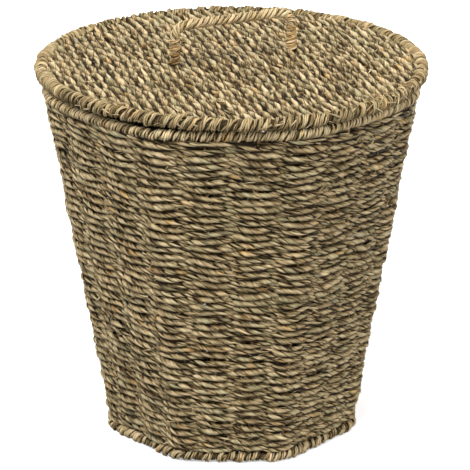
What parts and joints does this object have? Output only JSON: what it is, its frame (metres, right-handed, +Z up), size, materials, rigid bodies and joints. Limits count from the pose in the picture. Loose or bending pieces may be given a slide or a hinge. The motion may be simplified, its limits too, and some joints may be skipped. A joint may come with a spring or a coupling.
{
  "type": "laundry basket",
  "caption": "Tapered eight-sided woven seagrass laundry basket on a wire frame, with a loose round woven lid and a bow handle.",
  "frame": {"origin": "centre of the basket's base, on the floor", "axes": "+Z up through the lid; -Y out of the middle of one side, the front; +X to the right of it"},
  "size_m": [0.4196, 0.4196, 0.4579],
  "materials": {
    "seagrass_wall": "matte twisted plant fibre",
    "seagrass_lid": "matte twisted plant fibre",
    "seagrass_wrap": "matte wrapped plant fibre",
    "seagrass_lashing": "matte wrapped plant fibre",
    "frame_wire": "satin"
  },
  "bodies": {
    "basket": {"wall_weave": "seagrass_wall", "top_rim_wrap": "seagrass_wrap", "base_rim_wrap": "seagrass_wrap", "base_weave": "seagrass_wall", "top_ring_wire": "frame_wire", "base_ring_wire": "frame_wire", "upright_01": "frame_wire", "upright_02": "frame_wire", "upright_03": "frame_wire", "upright_04": "frame_wire", "upright_05": "frame_wire", "upright_06": "frame_wire", "upright_07": "frame_wire", "upright_08": "frame_wire", "upright_09": "frame_wire", "upright_10": "frame_wire", "upright_11": "frame_wire", "upright_12": "frame_wire", "upright_13": "frame_wire", "upright_14": "frame_wire", "upright_15": "frame_wire", "upright_16": "frame_wire", "upright_17": "frame_wire", "upright_18": "frame_wire", "upright_19": "frame_wire", "upright_20": "frame_wire", "upright_21": "frame_wire", "upright_22": "frame_wire", "upright_23": "frame_wire", "upright_24": "frame_wire", "base_stake_01": "frame_wire", "base_stake_02": "frame_wire", "base_stake_03": "frame_wire", "base_stake_04": "frame_wire", "base_stake_05": "frame_wire", "base_stake_06": "frame_wire", "base_stake_07": "frame_wire"},
    "lid": {"lid_weave": "seagrass_lid", "lid_rim_wrap": "seagrass_wrap", "handle_wrap": "seagrass_wrap", "handle_lashing_left": "seagrass_lashing", "handle_lashing_right": "seagrass_lashing", "handle_wire": "frame_wire", "lid_ring_wire": "frame_wire", "lid_stake_01": "frame_wire", "lid_stake_02": "frame_wire", "lid_stake_03": "frame_wire", "lid_stake_04": "frame_wire", "lid_stake_05": "frame_wire", "lid_stake_06": "frame_wire", "lid_stake_07": "frame_wire", "lid_stake_08": "frame_wire", "lid_stake_09": "frame_wire", "lid_stake_10": "frame_wire", "lid_stake_11": "frame_wire", "lid_stake_12": "frame_wire", "lid_stake_13": "frame_wire", "lid_stake_14": "frame_wire"}
  },
  "joints": [
    {"name": "lid_lift", "type": "slide", "parent": "basket", "child": "lid", "axis": [0, 0, 1], "range_m": [0, 0.3]}
  ]
}
